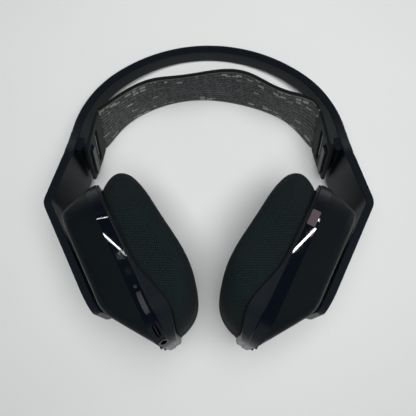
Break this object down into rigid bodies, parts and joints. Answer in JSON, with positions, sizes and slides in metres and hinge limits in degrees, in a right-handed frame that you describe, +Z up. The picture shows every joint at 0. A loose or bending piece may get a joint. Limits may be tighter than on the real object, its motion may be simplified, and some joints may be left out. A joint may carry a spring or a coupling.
{
  "type": "gaming headset",
  "caption": "Over-ear wireless gaming headset: C-shaped frame, elastic knit head strap, sliding and swivelling cups with mesh pads, controls on the left cup.",
  "frame": {"origin": "bottom centre of the headset as it lies on its front side", "axes": "+Z up, away from the surface it lies on; +Y towards the crown of the headband; +X towards the wearer's right cup; the wearer's left cup, with the controls, is at -X"},
  "size_m": [0.1878, 0.1992, 0.1009],
  "materials": {
    "frame_plastic": "satin",
    "strap_knit": "ribbed knit with light dashes",
    "lead_sheath": "matt",
    "tab_rubber": "matt",
    "screw_steel": "blackened",
    "inner_plastic": "matt",
    "shell_matte": "matt with a satin sheen",
    "housing_gloss": "piano black",
    "ring_satin": "satin",
    "light_diffuser": "smoked",
    "circuit_board": "solder mask",
    "driver_plastic": "matt",
    "magnet_steel": "plated",
    "diaphragm_film": "film",
    "scrim_cloth": "fine woven",
    "pad_cloth": "sports mesh",
    "button_plastic": "gloss",
    "roller_plastic": "ribbed",
    "led_lens": "frosted",
    "port_metal": "satin",
    "jack_ring": "satin",
    "battery_wrap": "film",
    "label_film": "satin"
  },
  "bodies": {
    "frame": {"headband_frame": "frame_plastic", "headband_cover": "frame_plastic", "headband_lead": "lead_sheath", "suspension_strap": "strap_knit", "strap_tab_left": "tab_rubber", "strap_hook_left": "frame_plastic", "blade_plate_left": "frame_plastic", "blade_screws_left": "screw_steel", "strap_tab_right": "tab_rubber", "strap_hook_right": "frame_plastic", "blade_plate_right": "frame_plastic", "blade_screws_right": "screw_steel"},
    "left_carriage": {"slide_carriage_left": "inner_plastic"},
    "left_gimbal": {"gimbal_ring_left": "inner_plastic", "gimbal_pins_left": "screw_steel"},
    "left_cup": {"pivot_bracket_left": "inner_plastic", "outer_shell_left": "shell_matte", "mid_housing_left": "housing_gloss", "inner_ring_left": "ring_satin", "baffle_left": "inner_plastic", "cup_screws_left": "screw_steel", "driver_frame_left": "driver_plastic", "driver_magnet_left": "magnet_steel", "driver_diaphragm_left": "diaphragm_film", "driver_scrim_left": "scrim_cloth", "pad_retainer_left": "inner_plastic", "ear_pad_left": "pad_cloth", "light_window_left": "light_diffuser", "light_board_left": "circuit_board", "main_board": "circuit_board", "status_led": "led_lens", "usb_port": "port_metal", "mic_jack": "jack_ring"},
    "right_carriage": {"slide_carriage_right": "inner_plastic"},
    "right_gimbal": {"gimbal_ring_right": "inner_plastic", "gimbal_pins_right": "screw_steel"},
    "right_cup": {"pivot_bracket_right": "inner_plastic", "outer_shell_right": "shell_matte", "mid_housing_right": "housing_gloss", "inner_ring_right": "ring_satin", "baffle_right": "inner_plastic", "cup_screws_right": "screw_steel", "driver_frame_right": "driver_plastic", "driver_magnet_right": "magnet_steel", "driver_diaphragm_right": "diaphragm_film", "driver_scrim_right": "scrim_cloth", "pad_retainer_right": "inner_plastic", "ear_pad_right": "pad_cloth", "light_window_right": "light_diffuser", "light_board_right": "circuit_board", "battery": "battery_wrap", "rating_label": "label_film"},
    "power_button": {"power_button": "button_plastic"},
    "mute_button": {"mute_button": "button_plastic"},
    "volume_roller": {"volume_roller": "roller_plastic"}
  },
  "joints": [
    {"name": "left_height", "type": "slide", "parent": "frame", "child": "left_carriage", "axis": [0.454, -0.8502, 0.2664], "range_m": [-0.008, 0.004]},
    {"name": "left_swivel", "type": "hinge", "parent": "left_carriage", "child": "left_gimbal", "pos_m": [-0.06287, -0.04173, 0.04858], "axis": [0.454, -0.8502, 0.2664], "range_deg": [-4.5, 4.5]},
    {"name": "left_tilt", "type": "hinge", "parent": "left_gimbal", "child": "left_cup", "pos_m": [-0.06287, -0.04173, 0.04858], "axis": [0, 0.299, 0.9542], "range_deg": [-2.5, 2.5]},
    {"name": "right_height", "type": "slide", "parent": "frame", "child": "right_carriage", "axis": [-0.454, -0.8502, 0.2664], "range_m": [-0.008, 0.004]},
    {"name": "right_swivel", "type": "hinge", "parent": "right_carriage", "child": "right_gimbal", "pos_m": [0.06287, -0.04173, 0.04858], "axis": [-0.454, -0.8502, 0.2664], "range_deg": [-4.5, 4.5]},
    {"name": "right_tilt", "type": "hinge", "parent": "right_gimbal", "child": "right_cup", "pos_m": [0.06287, -0.04173, 0.04858], "axis": [0, 0.299, 0.9542], "range_deg": [-2.5, 2.5]},
    {"name": "power_press", "type": "slide", "parent": "left_cup", "child": "power_button", "axis": [0, -0.299, -0.9542], "range_m": [0, 0.0006], "stiffness_N_per_m": 800, "springref_m": -0.0003},
    {"name": "mute_press", "type": "slide", "parent": "left_cup", "child": "mute_button", "axis": [0, -0.299, -0.9542], "range_m": [0, 0.0006], "stiffness_N_per_m": 800, "springref_m": -0.0003},
    {"name": "volume_turn", "type": "hinge", "parent": "left_cup", "child": "volume_roller", "pos_m": [-0.03281, -0.06058, 0.09295], "axis": [0.891, 0.4332, -0.1358], "range_deg": [-135, 135]}
  ]
}
